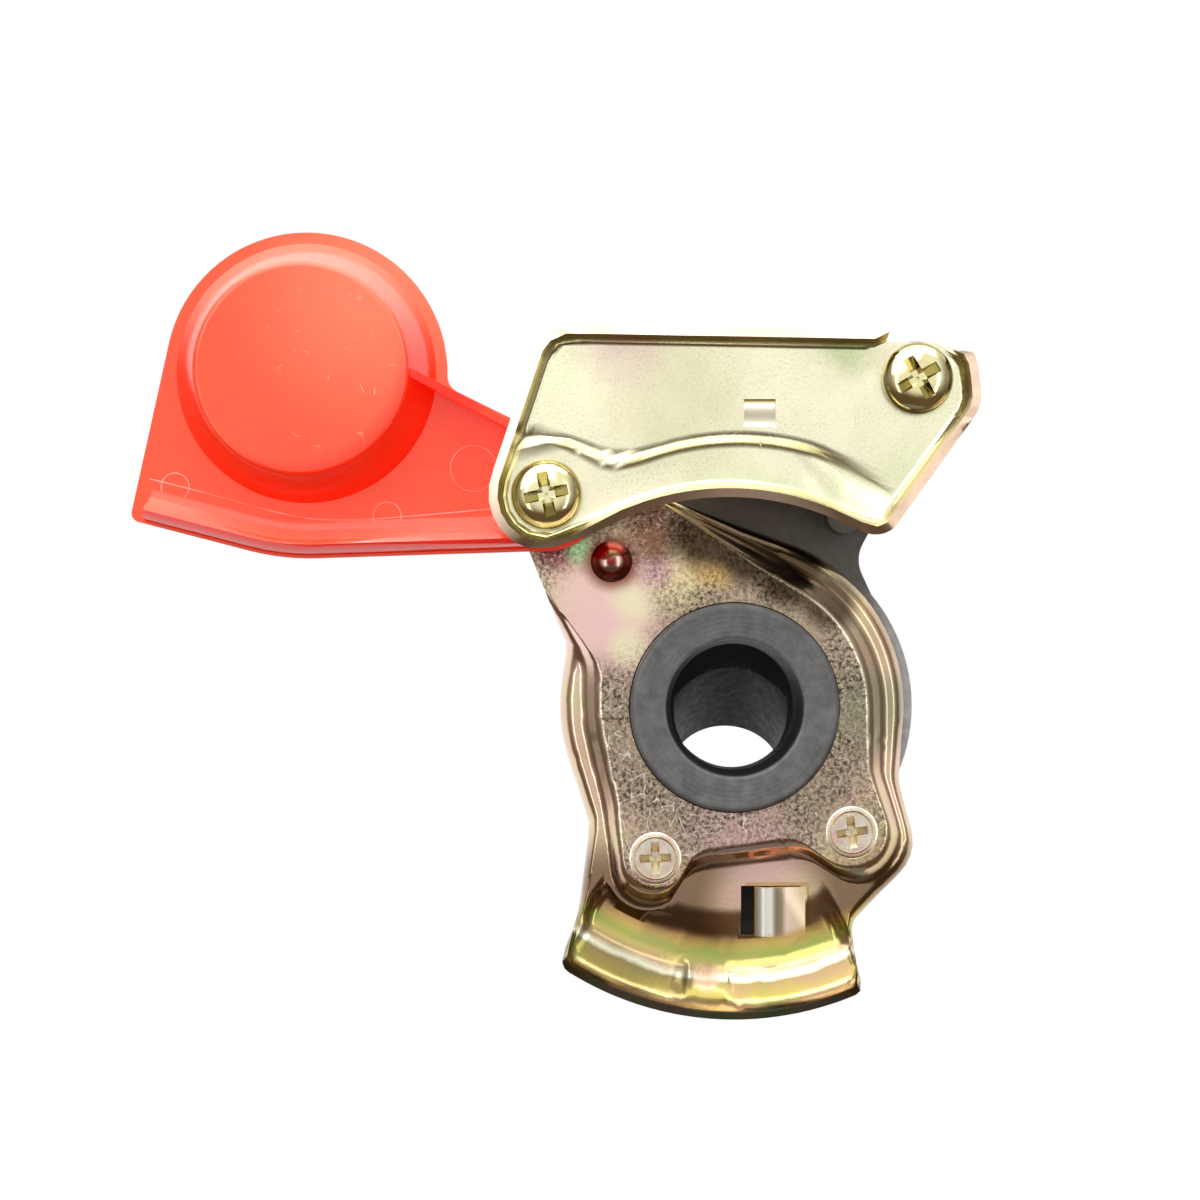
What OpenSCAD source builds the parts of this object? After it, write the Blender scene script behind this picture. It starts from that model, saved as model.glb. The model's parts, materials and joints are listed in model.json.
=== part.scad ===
// Palm coupling for a vehicle air brake line: cast body, pressed face plate and guide, seal and swinging cover.
// Each piece is drawn in the face frame: x to the right, y up, z out of the seal face towards the viewer.

/* [Seal] */
// Outer radius of the seal's face
seal_r = 18.1; // [17:0.1:19]
// Radius of the air bore through the seal
seal_bore_r = 11.85; // [9:0.05:13]
// Width of the bevel round the seal's face
seal_bevel = 0.8; // [0.3:0.1:1.5]
// How far the seal's hidden flange stands out past its face
seal_flange_w = 1.5; // [1:0.1:2]
// Thickness of the seal's hidden flange
seal_flange_t = 4.4; // [3:0.1:6]

/* [Front plate] */
// Thickness of the front plate's sheet
sheet_t = 1.8; // [1.4:0.1:2]
// Depth of the front plate's plateau below the seal's face
plateau_depth = 2.2; // [1.6:0.1:3]
// Radius of the plateau round the seal
plateau_r = 23.7; // [23:0.1:24.5]
// Drop from the plateau to the ledge
ledge_drop = 3.2; // [2:0.1:3.6]
// Width of the sloping wall round the plateau
wall_w = 3.4; // [2.8:0.1:3.6]
// Radius of the skirt's edge round the seal
skirt_r = 30.3; // [29.5:0.1:31]
// Drop from the ledge to the skirt's edge
skirt_drop = 5.1; // [4:0.1:6]
// Width of the bend from the ledge to the skirt
skirt_bend = 2.6; // [2.4:0.1:3]
// Radius of the bayonet lip's edge
lip_r = 54.3; // [53:0.1:56]
// Angle at the seal where the bayonet lip starts
lip_start = 232; // [230:0.5:234]
// Angle at the seal where the bayonet lip ends
lip_end = 298; // [297:0.5:300]
// Depth of the groove in front of the lip, below the ledge
groove_drop = 2.6; // [1:0.1:3]
// Rise of the lip's edge above the groove
lip_rise = 5.6; // [4:0.1:6]

/* [Guide plate] */
// Thickness of the guide's sheet
guide_t = 1.5; // [1.2:0.1:1.8]
// Height of the guide's floor above the seal's face
guide_floor = 12.2; // [11.5:0.1:14]
// Height of the guide's rim above its floor
guide_rim_h = 3.2; // [2:0.1:4]
// Width of the rim's sloping wall
guide_rim_w = 1.7; // [1.2:0.1:1.8]
// Drop from the floor to the seat along the lower edge
guide_seat_drop = 1.2; // [0.6:0.1:1.4]
// Radius of the guide's concave lower edge
guide_arch_r = 44.2; // [43:0.1:44.5]

/* [Pivot and screws] */
// Distance from the seal's axis to the cover's pivot
pivot_dist = 48.6; // [47.5:0.1:50]
// Angle at the seal of the cover's pivot
pivot_angle = 131.6; // [130:0.1:133]
// Radius of the sleeve that the cover turns on
sleeve_r = 4.5; // [4.2:0.1:5]
// Thread radius of the two pan-head screws
pan_thread_r = 3; // [2.5:0.1:3]
// Head radius of the pan-head screws
pan_head_r = 6; // [5.5:0.1:6.5]
// Head height of the pan-head screws
pan_head_h = 4.2; // [3:0.1:4.6]
// Thread radius of the countersunk screws
face_thread_r = 2.5; // [2:0.1:2.6]
// Head radius of the countersunk screws
face_head_r = 4.6; // [4:0.1:4.8]
// Play between a screw and its hole
screw_play = 0.05; // [0.03:0.01:0.2]
// Play between the cover and its sleeve
pivot_play = 0.05; // [0.04:0.01:0.2]

/* [Cover] */
// Angle of the cover's arm in the open position
cover_open_angle = 152.9; // [150:0.1:156]
// Distance from the pivot to the dome's axis
cover_reach = 46.5; // [46:0.1:48]
// Radius of the dome at its foot
dome_r = 22.25; // [21.5:0.05:22.5]
// Radius of the dome's flat top
dome_top_r = 18.4; // [16:0.1:19]
// Height of the dome above the cover's rear face
dome_h = 12; // [9:0.1:13]
// Wall thickness of the cover
cover_t = 1.8; // [1.4:0.1:2.2]
// Radius of the flange round the dome
flange_r = 24.2; // [23.8:0.1:25]
// Height of the curled wall along the cover's lower edge
curl_h = 6.5; // [4:0.1:7.5]

/* [Body] */
// Radius of the cast drum behind the front plate
drum_r = 30.4; // [29.8:0.1:31]
// Thickness of the drum
drum_t = 11; // [9:0.5:14]
// Radius of the air chamber
chamber_r = 11; // [9:0.1:11.2]
// Bore radius of the hose port
port_r = 10.2; // [8:0.1:10.4]
// Outer radius of the hose port's boss
port_boss_r = 15.5; // [14:0.1:16]
// Tilt of the hose port below the seal's axis
port_tilt = 35; // [30:0.5:40]
// Distance from the chamber's corner to the port's mouth
port_reach = 23.1; // [21:0.1:26]
// Radius of the pillar that carries the guide
pillar_r = 6.5; // [6:0.1:7]

/* [Hidden] */
$fn = 64;
arc_step = 22;
overlap = 0.2;
running_gap = 0.3;

plateau_f = -plateau_depth;
ledge_f = plateau_f - ledge_drop;
skirt_f = ledge_f - skirt_drop;
groove_f = ledge_f - groove_drop;
plate_back = plateau_f - sheet_t;
plate_hole_r = seal_r + 0.2;
seal_seat_f = plate_back - seal_flange_t;

guide_seat = guide_floor - guide_seat_drop;
guide_top = guide_floor + guide_rim_h;
guide_back = guide_floor - guide_t;
seat_back = guide_seat - guide_t;

seal_axis = [0, 0];
pivot = pivot_dist * [cos(pivot_angle), sin(pivot_angle)];
pillar = [29.95, 55.75];
face_holes = [[-13.7, -26.1], [20.4, -21.6]];
pad_r = plateau_r - 2.2;
pan_hole_r = pan_thread_r + screw_play;
face_hole_r = face_thread_r + screw_play;
face_head_h = face_head_r - face_thread_r;

cover_back = running_gap;
cover_front = cover_back + cover_t;
hub_r = 8.6;
hub_bore_r = sleeve_r + pivot_play;

drum_x = 1.3;
drum_front = skirt_f - 0.5;
drum_back = drum_front - drum_t;
arm_front = drum_front - 0.5;
rib_front = -6;
port_root = -16;
port_sink = 6;
mouth_bevel = 1;
chamber_sink = 5;

// Helpers for outlines and blends
function direction(a) = [cos(a), sin(a)];
function mix(a, b, t) = a + (b - a) * t;
function within(t, low, high) = min(high, max(low, t));
function ease(t) = let(u = within(t, 0, 1)) u * u * (3 - 2 * u);
function wrap(a) = a - 360 * floor(a / 360);
function flat(p) = [p[0], p[1]];

// Direction of the straight run between two discs [x, y, radius], where a negative radius is a hollow
function run_angle(p, q) =
    let(d = flat(q) - flat(p))
    atan2(d[1], d[0]) - asin(within((q[2] - p[2]) / norm(d), -1, 1));

// Outline of a belt drawn counter-clockwise round a list of discs; a disc that is only grazed takes no arc
function belt(discs) =
    let(n = len(discs))
    [for (i = [0:n - 1])
        let(
            disc = discs[i],
            start = run_angle(discs[(i + n - 1) % n], disc),
            side = sign(disc[2]),
            turn = wrap(side * (run_angle(disc, discs[(i + 1) % n]) - start)),
            swept = turn > 330 ? 0 : turn,
            steps = ceil(swept * sqrt(abs(disc[2])) / arc_step) + 1)
        for (k = [0:steps])
            let(a = start + side * swept * k / steps)
            flat(disc) + disc[2] * [sin(a), -cos(a)]];

// Discs of the same belt drawn further in
function inset(discs, d) = [for (disc = discs) disc - [0, 0, d]];

// Distance from a point to an outline along a ray
function ray_hit(from, a, outline) =
    max([for (i = [0:len(outline) - 1])
        let(
            p = outline[i] - from,
            q = outline[(i + 1) % len(outline)] - from,
            d = direction(a),
            e = q - p,
            slant = d[0] * e[1] - d[1] * e[0],
            along = (p[0] * d[1] - p[1] * d[0]) / slant)
        if (abs(slant) > 1e-9 && along >= 0 && along < 1)
            (p[0] * e[1] - p[1] * e[0]) / slant]);

// Rear face of a sheet, from the radial profile of its front face and how far a ray slants across the edge
function sheet_back(profile, thickness, slant) =
    let(last = len(profile) - 1)
    [for (j = [0:last])
        let(
            run = profile[min(j + 1, last)] - profile[max(j - 1, 0)],
            d = run / norm(run))
        profile[j] + thickness * [d[1] * slant, -d[0]]];

// Pressed sheet lofted through radial profiles [radius, height], one for each angle round a middle point
module pressed_sheet(middle, angles, profiles, thickness, slants) {
    n = len(angles);
    k = len(profiles[0]);
    rings = [for (i = [0:n - 1])
        let(back = sheet_back(profiles[i], thickness, slants[i]))
        concat(profiles[i], [for (j = [k - 1:-1:0]) back[j]])];
    points = [for (i = [0:n - 1]) for (q = rings[i])
        concat(middle + q[0] * direction(angles[i]), q[1])];
    skin = [for (i = [0:n - 1]) for (j = [0:2 * k - 2])
        let(
            here = i * 2 * k + j,
            next = (i + 1) % n * 2 * k + j)
        each [[here, next, next + 1], [here, next + 1, here + 1]]];
    front_cap = [for (i = [n - 1:-1:0]) i * 2 * k];
    back_cap = [for (i = [0:n - 1]) i * 2 * k + 2 * k - 1];
    polyhedron(points, concat(skin, [front_cap, back_cap]), convexity = 8);
}

// Stands a piece drawn in the face frame upright, with its face towards the front
module upright() rotate([90, 0, 0]) children();

// Straight prism of an outline between two heights
module prism(outline, low, high) translate([0, 0, low]) linear_extrude(high - low) polygon(outline);

// Cylinder between two heights at a point of the face
module post(at, r, low, high) translate([at[0], at[1], low]) cylinder(r = r, h = high - low);

// Holes for the two countersunk screws, from a depth up to the plateau
module countersunk_holes(depth) for (at = face_holes) {
    post(at, face_hole_r, depth, 1);
    translate([at[0], at[1], plateau_f - face_head_h])
        cylinder(r1 = face_hole_r, r2 = face_head_r + screw_play, h = face_head_h + screw_play);
}

// Front plate: outlines of the plateau's crest and of the sheet's edge
ear_r = 6.5;
lobe_r = [6.0, 6.7];
crest_outline = belt([
    [0, 0, plateau_r],
    concat(pivot, ear_r + 2.5),
    [-33.8, 4.6, -10],
    [0, 0, plateau_r],
    [-28.6, -17.5, -8],
    concat(face_holes[0], lobe_r[0]),
    [-2.6, -33.1, -8],
    [9.3, -30.6, -7],
    concat(face_holes[1], lobe_r[1]),
    [31.8, -9.7, -8]]);
lip_corner_r = [2.1, 1.8];
lip_corner_angle = [237.9, 292.8];
lip_corners = [for (i = [0, 1])
    concat((lip_r - lip_corner_r[i]) * direction(lip_corner_angle[i]), lip_corner_r[i])];
edge_outline = belt([
    [0, 0, skirt_r],
    concat(pivot, ear_r),
    [-30.5, 10.7, -1.4],
    [0, 0, skirt_r],
    [-31.2, -21.5, -6],
    [-32.8, -33.9, -6],
    lip_corners[0],
    [0, 0, lip_r],
    lip_corners[1],
    [24.2, -39.3, -3.2],
    [24.4, -23.8, 7.4],
    [37.3, -12.6, -8]]);

// Angles of the front plate's profiles, close together at the two ends of the lip
plate_angles = concat(
    [for (a = [0:4:108]) a],
    [for (a = [111:3:222]) a],
    [for (a = [224:1:240]) a],
    [for (a = [242:2:256]) a],
    [for (a = [257:1:272]) a],
    [for (a = [274:2:290]) a],
    [for (a = [291:1:303]) a],
    [for (a = [305:2.5:357.5]) a]);
plate_cap_r = 15;
lip_blend = 4;
least_run = 1.6;
least_step = 0.3;
dimple_angle = 264.4;
dimple_spread = 5.2;
dimple_edge = 1.2;
dimple_depth = 1.5;
dimple_shape = [0.45, 1, 0.3];

// Shares of the wall's width and drop from crest to foot, of the bend at the skirt, and the lip's bends
wall_shape = [[0, 0], [0.2, 0.07], [0.4, 0.32], [0.62, 0.72], [0.82, 0.95], [1, 1]];
wall_roll = 1.2;
skirt_shape = [[0, 0], [0.45, 0.1], [0.8, 0.36], [0.95, 0.7], [1, 1]];
lip_bend_r = lip_r - 19.3;
lip_shape = [[0, 0, 0], [3, 0.4, 0], [6, 1, 0], [9.2, 1, 0.02], [11, 1, 0.26], [12.6, 1, 0.45],
    [15.2, 1, 0.54], [16.8, 1, 0.73], [17.7, 1, 1]];
lip_last = len(lip_shape) - 1;
skirt_first = lip_last - len(skirt_shape) + 1;

function lip_share(a) = ease((a - lip_start) / lip_blend) * ease((lip_end - a) / lip_blend);

function plate_profile(a) =
    let(
        edge = ray_hit(seal_axis, a, edge_outline),
        crest = min(ray_hit(seal_axis, a, crest_outline), edge - least_run),
        room = edge - crest,
        fall = ease((room - least_run) / (wall_w + skirt_bend - least_run)),
        shoulder = crest - wall_roll * fall,
        foot = crest + min(wall_w, room * 0.55),
        bend = min(skirt_bend, room * 0.4),
        share = lip_share(a),
        reach = (edge - lip_bend_r) / (lip_r - lip_bend_r),
        dent = dimple_depth * ease((dimple_spread - abs(a - dimple_angle)) / dimple_edge))
    concat(
        [[plate_cap_r, plateau_f]],
        [for (s = wall_shape) [mix(shoulder, foot, s[0]), plateau_f - ledge_drop * fall * s[1]]],
        [for (j = [0:lip_last])
            let(
                lip = lip_shape[j],
                lip_at = max(foot + least_step * (j + 1), lip_bend_r + lip[0] * reach),
                sunk = j > 3 && j < 7 ? dimple_shape[j - 4] * dent : 0,
                lip_f = ledge_f - groove_drop * lip[1] + lip_rise * lip[2] - sunk,
                turn = skirt_shape[max(0, j - skirt_first)],
                skirt_at = j < skirt_first
                    ? mix(foot, edge - bend, (j + 1) / (skirt_first + 1))
                    : edge - bend * (1 - turn[0]),
                skirt_z = plateau_f - fall * (ledge_drop + skirt_drop * turn[1]))
            [mix(skirt_at, min(lip_at, edge - least_step * (lip_last - j)), share),
                mix(skirt_z, lip_f, share)]]);

window_x = [1.3, 11.7];
window_y = [-40, -31.2];
tab_x = 3.6;
tab_t = 1.5;
tab_side_gap = 0.15;
tab_rise = 3.2;
tab_curl = 1.9;
tab_curl_share = 0.3;
bump_at = [-21.3, 25.3];
bump_r = 3.6;
bump_h = 2;
bump_sphere_r = (bump_r * bump_r + bump_h * bump_h) / (2 * bump_h);

// Bowed tongue lanced out of the window, still joined to the sheet at its right-hand end
module window_tab() {
    span = window_x[1] + 0.8 - tab_x;
    bow = [for (k = [0:8])
        let(t = k / 8)
        [tab_x + span * t,
            ledge_f - 0.1 + tab_rise * (1 - t) - tab_curl * pow(max(0, 1 - t / tab_curl_share), 2)]];
    tongue = concat(bow, [for (k = [8:-1:0]) bow[k] - [0, tab_t]]);
    translate([0, window_y[1] - tab_side_gap, 0])
        rotate([90, 0, 0])
            linear_extrude(window_y[1] - window_y[0] - 2 * tab_side_gap)
                polygon(tongue);
}

module front_plate() color("#c9a982") upright() {
    difference() {
        union() {
            pressed_sheet(
                seal_axis, plate_angles, [for (a = plate_angles) plate_profile(a)],
                sheet_t, [for (a = plate_angles) 1]);
            intersection() {
                translate([bump_at[0], bump_at[1], plateau_f + bump_h - bump_sphere_r])
                    sphere(r = bump_sphere_r);
                post(bump_at, bump_r, plateau_f - sheet_t / 2, plateau_f + bump_h);
            }
        }
        translate([bump_at[0], bump_at[1], plateau_f + bump_h - bump_sphere_r - sheet_t])
            sphere(r = bump_sphere_r);
        post(seal_axis, plate_hole_r, groove_f, 1);
        post(pivot, pan_hole_r, groove_f, 1);
        countersunk_holes(groove_f);
        translate([window_x[0], window_y[0], skirt_f])
            cube([window_x[1] - window_x[0], window_y[1] - window_y[0], ledge_f + 1 - skirt_f]);
    }
    window_tab();
}

// Guide plate: outline of the rim, seen from the front
guide_mid = [3.57, 52.5];
detent_at = [3.57, 50];
guide_ear_r = 9.6;
rim_lean = 0.94;
guide_discs = [
    concat(pivot + [4, 21.7], 6.5),
    concat(pivot, guide_ear_r),
    [-1.8, -8.3, -guide_arch_r],
    concat(pillar + [-7.2, -22], 4.3),
    concat(pillar + [4.4, -3], 6),
    concat(pillar + [3, 0.7], 7)];
guide_outline = belt(guide_discs);
guide_edge = belt(inset(guide_discs, guide_t * rim_lean));
guide_foot = belt(inset(guide_discs, guide_t * rim_lean + guide_rim_w));
guide_angles = concat(
    [for (a = [0:3:42]) a],
    [for (a = [47:5:142]) a],
    [for (a = [147:3:357]) a]);
guide_cap_r = 3;
seat_w = 1.5;
seat_arc_r = guide_arch_r + seat_w;
seat_ring_r = pan_head_r + 3.4;
seat_step = 1.6;
seat_round = 9;
seat_fade = [13, 25];
seat_levels = [1, 0.5, 0, -0.5, -1] * seat_step;
seat_steps = 40;
least_gap = 0.02;
notch_x = [24.5, 36.5];
notch_depth = 0.6;
rim_shape = [[0, 0], [0.36, 0.1], [0.66, 0.38], [0.86, 0.72], [1, 1]];
detent = [5.3, 4.5];
detent_depth = 1.1;
detent_start = 0.06;

// Share of the rim that is cut away, 1 along the notch at the top right
function notch_share(a, edge) =
    let(x = guide_mid[0] + edge * cos(a))
    sin(a) < 0 ? 0 : ease((x - notch_x[0]) / 1.2 + 0.5) * ease((notch_x[1] - x) / 1.2 + 0.5);

function guide_slant(a) =
    (ray_hit(guide_mid, a, guide_outline) - ray_hit(guide_mid, a, guide_edge)) / (guide_t * rim_lean);

// Distance outside the seat, which lies along the lower edge and round the pivot's screw
function seat_gap(p) =
    let(
        arc_gap = norm(p) - seat_arc_r,
        ring_gap = norm(p - pivot) - seat_ring_r,
        corner = max(seat_round - abs(arc_gap - ring_gap), 0) / seat_round)
    min(arc_gap, ring_gap) - corner * corner * seat_round / 4;

// Height of the floor at a distance from the guide's middle along a ray
function floor_height(a, r) =
    let(p = guide_mid + r * direction(a))
    guide_floor - guide_seat_drop * ease(0.5 - seat_gap(p) / (2 * seat_step))
        * ease((seat_fade[1] - p[0]) / (seat_fade[1] - seat_fade[0]));

// Distance along a ray to a level of the step down to the seat, walked by the gap that is left
function seat_hit(a, level, r, steps) =
    let(gap = seat_gap(guide_mid + r * direction(a)) - level)
    steps == 0 || gap < least_gap ? r : seat_hit(a, level, r + gap, steps - 1);

function guide_profile(a) =
    let(
        rim = ray_hit(guide_mid, a, guide_edge),
        notch = notch_share(a, rim),
        edge = rim - notch * notch_depth,
        foot = ray_hit(guide_mid, a, guide_foot),
        last = len(seat_levels) - 1,
        stops = [for (j = [0:last])
            min(seat_hit(a, seat_levels[j], guide_cap_r + least_step, seat_steps),
                foot - least_step * (last + 1 - j))],
        floor_f = floor_height(a, foot),
        rise = (guide_top - floor_f) * (1 - notch))
    concat(
        [[guide_cap_r, guide_floor]],
        [for (r = stops) [r, floor_height(a, r)]],
        [for (s = rim_shape) [mix(foot, edge, s[0]), floor_f + rise * s[1]]]);

module guide_plate() color("#d2c08c") upright() difference() {
    union() {
        pressed_sheet(
            guide_mid, guide_angles, [for (a = guide_angles) guide_profile(a)],
            guide_t, [for (a = guide_angles) guide_slant(a)]);
        translate([detent_at[0], detent_at[1], guide_back - detent_depth / 2])
            cube([detent[0] + 1, detent[1] + 1, detent_depth], center = true);
        post(pivot, seat_ring_r - seat_step - 1, seat_back, guide_seat);
    }
    translate([detent_at[0] - detent[0] / 2, detent_at[1] - detent[1] / 2, guide_floor - detent_start])
        rotate([-atan(detent_depth / detent[1]), 0, 0])
            cube([detent[0], detent[1], 2 * detent_depth]);
    post(pivot, pan_hole_r, seat_back - 1, guide_top);
    post(pillar, pan_hole_r, guide_back - 1, guide_top);
}

module seal_ring() color("#2b2b2d") upright() rotate_extrude() polygon([
    [chamber_r, seal_seat_f],
    [seal_r + seal_flange_w, seal_seat_f],
    [seal_r + seal_flange_w, plate_back],
    [seal_r, plate_back],
    [seal_r, -seal_bevel],
    [seal_r - seal_bevel, 0],
    [seal_bore_r, 0],
    [seal_bore_r, plate_back],
    [chamber_r, plate_back - seal_bore_r + chamber_r]]);

// Cover: drawn round its pivot, with its arm along x, then turned to the open position
neck_y = -9;
neck_fillet = 3;
cover_outline = belt([
    [cover_reach, 0, flange_r],
    [cover_reach + 14.4, 34.3, 1.6],
    [cover_reach + 3.4, -7.5, 40],
    [0, 0, 9.3],
    [cover_reach - sqrt(pow(flange_r + neck_fillet, 2) - pow(neck_y - neck_fillet, 2)),
        neck_y - neck_fillet, -neck_fillet]]);
hub_back = plateau_f + running_gap;
hub_front = seat_back - running_gap;
rib_x = 6;
rib_t = 1.4;
rib_inset = 0.4;
rib_y = neck_y + rib_inset + rib_t;
rib_base = mix(cover_back, cover_front, 0.3);
rib_top = cover_back + dome_h - cover_t / 2;
rib_low = hub_front - 0.5;
curl_shape = [[0.2, 0.08], [1.3, 0.78], [2.3, 1], [3.1, 0.92], [3.7, 0.6], [4.7, 0.36], [7, 0.24], [7, 0.08]];
curl_x = [59.6, -3];
curl_stops = 24;

function lower_edge(x) =
    ray_hit([x, 0], 90, cover_outline);

// Wall that curls up along the cover's lower edge, with a hollow blend down to the plate
module curled_wall() {
    k = len(curl_shape);
    xs = [for (i = [0:curl_stops]) mix(curl_x[0], curl_x[1], i / curl_stops)];
    points = [for (x = xs) for (s = curl_shape)
        let(
            slope = atan2(lower_edge(x) - lower_edge(x - 1), 1),
            foot = [x, lower_edge(x)])
        concat(foot + s[0] * [sin(slope), -cos(slope)], cover_back + curl_h * s[1])];
    sides = [for (i = [0:curl_stops - 1]) for (j = [0:k - 1])
        let(
            here = i * k,
            next = here + k,
            up = (j + 1) % k)
        each [[here + j, here + up, next + up], [here + j, next + up, next + j]]];
    far = curl_stops * k;
    ends = [for (j = [1:k - 2]) each [[0, j + 1, j], [far, far + j, far + j + 1]]];
    polyhedron(points, concat(sides, ends), convexity = 6);
}

module dome() {
    shoulder = 1.2;
    lean = atan2(dome_r - dome_top_r, dome_h - cover_t);
    crown = cover_back + dome_h;
    arc = [for (k = [0:5])
        let(a = mix(lean, 90, k / 5))
        [dome_top_r - shoulder + shoulder * cos(a), crown - shoulder + shoulder * sin(a)]];
    translate([cover_reach, 0, 0])
        rotate_extrude()
            polygon(concat(
                [[dome_r - cover_t, cover_back], [dome_r, cover_back], [dome_r, cover_front]],
                arc,
                [[0, crown], [0, crown - cover_t], [dome_top_r - shoulder, crown - cover_t],
                    [dome_top_r - cover_t, crown - shoulder - cover_t / 2], [dome_r - cover_t, cover_front]]));
}

// Place along the arm where the rib ends, halfway into the dome's wall of that radius
function rib_end(r) = cover_reach - sqrt(pow(r - cover_t / 2, 2) - pow(rib_y - rib_t / 2, 2));

// Rib along the upper side of the arm, from the hub up to the dome's shoulder
module arm_rib() translate([0, rib_y, 0]) rotate([90, 0, 0]) linear_extrude(rib_t)
    polygon([
        [rib_x, rib_base],
        [rib_end(dome_r), rib_base],
        [rib_end(dome_top_r), rib_top],
        [rib_x + 8, rib_low],
        [rib_x, rib_low]]);

module cover_flap() color("#e8402f") upright() translate(pivot) rotate(cover_open_angle) difference() {
    union() {
        difference() {
            union() {
                prism(cover_outline, cover_back, cover_front);
                curled_wall();
            }
            post([cover_reach, 0], dome_r - cover_t / 2, cover_back - 1, hub_front + dome_h);
        }
        dome();
        arm_rib();
        post([0, 0], hub_r, hub_back, hub_front);
    }
    post([0, 0], hub_bore_r, hub_back - 1, hub_front + 1);
}

module pivot_sleeve() color("#b9b4a2") upright() difference() {
    post(pivot, sleeve_r, plateau_f, seat_back);
    post(pivot, pan_hole_r, plateau_f - 1, seat_back + 1);
}

// Cross recess sunk into a screw's head, for a driver of the given reach
module cross_recess(reach, width, top, depth, turn) rotate(turn) for (a = [0, 90])
    rotate(a) translate([-reach, -width / 2, top - depth]) cube([2 * reach, width, depth + 1]);

// Pan-head screw whose head seats at a height and whose thread ends at another
module pan_screw(at, seat, tip, turn) translate(at) difference() {
    union() {
        post([0, 0], pan_thread_r, tip + 1, seat + overlap);
        translate([0, 0, tip]) cylinder(r1 = pan_thread_r - 1, r2 = pan_thread_r, h = 1);
        translate([0, 0, seat]) rotate_extrude() polygon(concat(
            [[0, 0], [pan_head_r, 0], [pan_head_r, pan_head_h * 0.3]],
            [for (k = [1:5]) let(a = 90 * k / 5)
                [pan_head_r - 2.6 + 2.6 * cos(a), pan_head_h * (0.3 + 0.7 * sin(a))]],
            [[0, pan_head_h]]));
    }
    cross_recess(pan_head_r * 0.6, pan_head_r * 0.3, seat + pan_head_h, pan_head_h * 0.65, turn);
}

pivot_tip = -16;
guide_tip = -6;
module pivot_screw() color("#cfc08f") upright() pan_screw(pivot, guide_seat, pivot_tip, 12);
module guide_screw() color("#cfc08f") upright() pan_screw(pillar, guide_floor, guide_tip, 30);

face_tip = -18;
face_turn = [2, 8];
module face_screws() color("#c8b48e") upright() for (i = [0, 1]) translate(face_holes[i]) difference() {
    union() {
        post([0, 0], face_thread_r, face_tip, plateau_f - face_head_h + overlap);
        translate([0, 0, plateau_f - face_head_h])
            cylinder(r1 = face_thread_r, r2 = face_head_r, h = face_head_h);
    }
    cross_recess(face_head_r * 0.6, face_head_r * 0.3, plateau_f, face_head_h * 0.8, face_turn[i]);
}

// Body: outline of the arm that ties the drum to the pivot boss and the guide's pillar
pivot_boss_r = 5;
boss_step = 0.6;
arm_outline = belt([
    [drum_x, 0, drum_r - 1],
    [28.4, 25.7, -6],
    concat(pillar, pillar_r + boss_step),
    concat(pivot, pivot_boss_r - boss_step),
    [-31.5, 9.5, -3]]);
arm_back = arm_front - 7;
raised_outline = belt([concat(pillar, pillar_r - boss_step), [-4, 44.5, 3.5], [21.5, 37, 4.5]]);
pocket_outline = belt([[20, 50, 4], [-20, 37, 4], [-4, 36, 3], [16, 37, 4]]);
pocket_floor = arm_front - 2.6;
screw_boss_r = 4.6;
pad_at = [19.3, 33.2];
pad_h = 1.4;
web_t = 5;
lug_outline = belt([[0, -36.5, 4], [13.5, -36.5, 4], [13, 0, 4], [-4, 0, 4]]);
lug_front = groove_f - sheet_t - 1;

// Places its children along the hose port's axis, which leaves the chamber backwards and down
module along_port() translate([0, 0, port_root]) rotate([-port_tilt, 0, 0]) mirror([0, 0, 1]) children();

// Web at the rear that ties the hose port's boss to the arm
module rear_web() translate([-web_t / 2, 0, 0]) rotate([90, 0, 90]) linear_extrude(web_t)
    polygon([
        [4, arm_back + 1],
        [36, arm_back + 1],
        [36, arm_back - 1.5],
        [10, port_root - 12],
        [4, port_root - 12]]);

module body() color("#7d8084") upright() difference() {
    union() {
        post([drum_x, 0], drum_r, drum_back, drum_front);
        post(seal_axis, pad_r + 4, drum_front - 3, ledge_f - sheet_t - 1);
        post(seal_axis, pad_r, drum_front - 4, plate_back);
        for (at = face_holes) post(at, screw_boss_r, drum_back + 1, plate_back);
        prism(arm_outline, arm_back, arm_front);
        prism(raised_outline, arm_back, rib_front);
        prism(lug_outline, drum_back + 2, lug_front);
        post(pivot, pivot_boss_r, arm_back, plate_back);
        post(pillar, pillar_r, arm_back, guide_back);
        post(pad_at, 3, arm_front - 1, rib_front + pad_h);
        rear_web();
        along_port() rotate_extrude() polygon([
            [0, -port_sink],
            [port_boss_r, -port_sink],
            [port_boss_r, port_reach - mouth_bevel],
            [port_boss_r - mouth_bevel, port_reach],
            [0, port_reach]]);
    }
    prism(pocket_outline, arm_back - 1, pocket_floor);
    post(seal_axis, seal_r + seal_flange_w + 0.2, seal_seat_f, 1);
    post(seal_axis, chamber_r, port_root, 1);
    translate([0, 0, port_root - chamber_sink])
        cylinder(r1 = chamber_r - chamber_sink, r2 = chamber_r, h = chamber_sink);
    along_port() cylinder(r = port_r, h = port_reach + 1);
    post(pivot, pan_hole_r, pivot_tip - 1, 1);
    post(pillar, pan_hole_r, guide_tip - 1, guide_top);
    countersunk_holes(face_tip - 1);
}

body();
front_plate();
guide_plate();
seal_ring();
cover_flap();
pivot_sleeve();
pivot_screw();
guide_screw();
face_screws();
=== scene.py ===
"""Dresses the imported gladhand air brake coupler: finished pieces, materials, studio and camera."""

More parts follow.
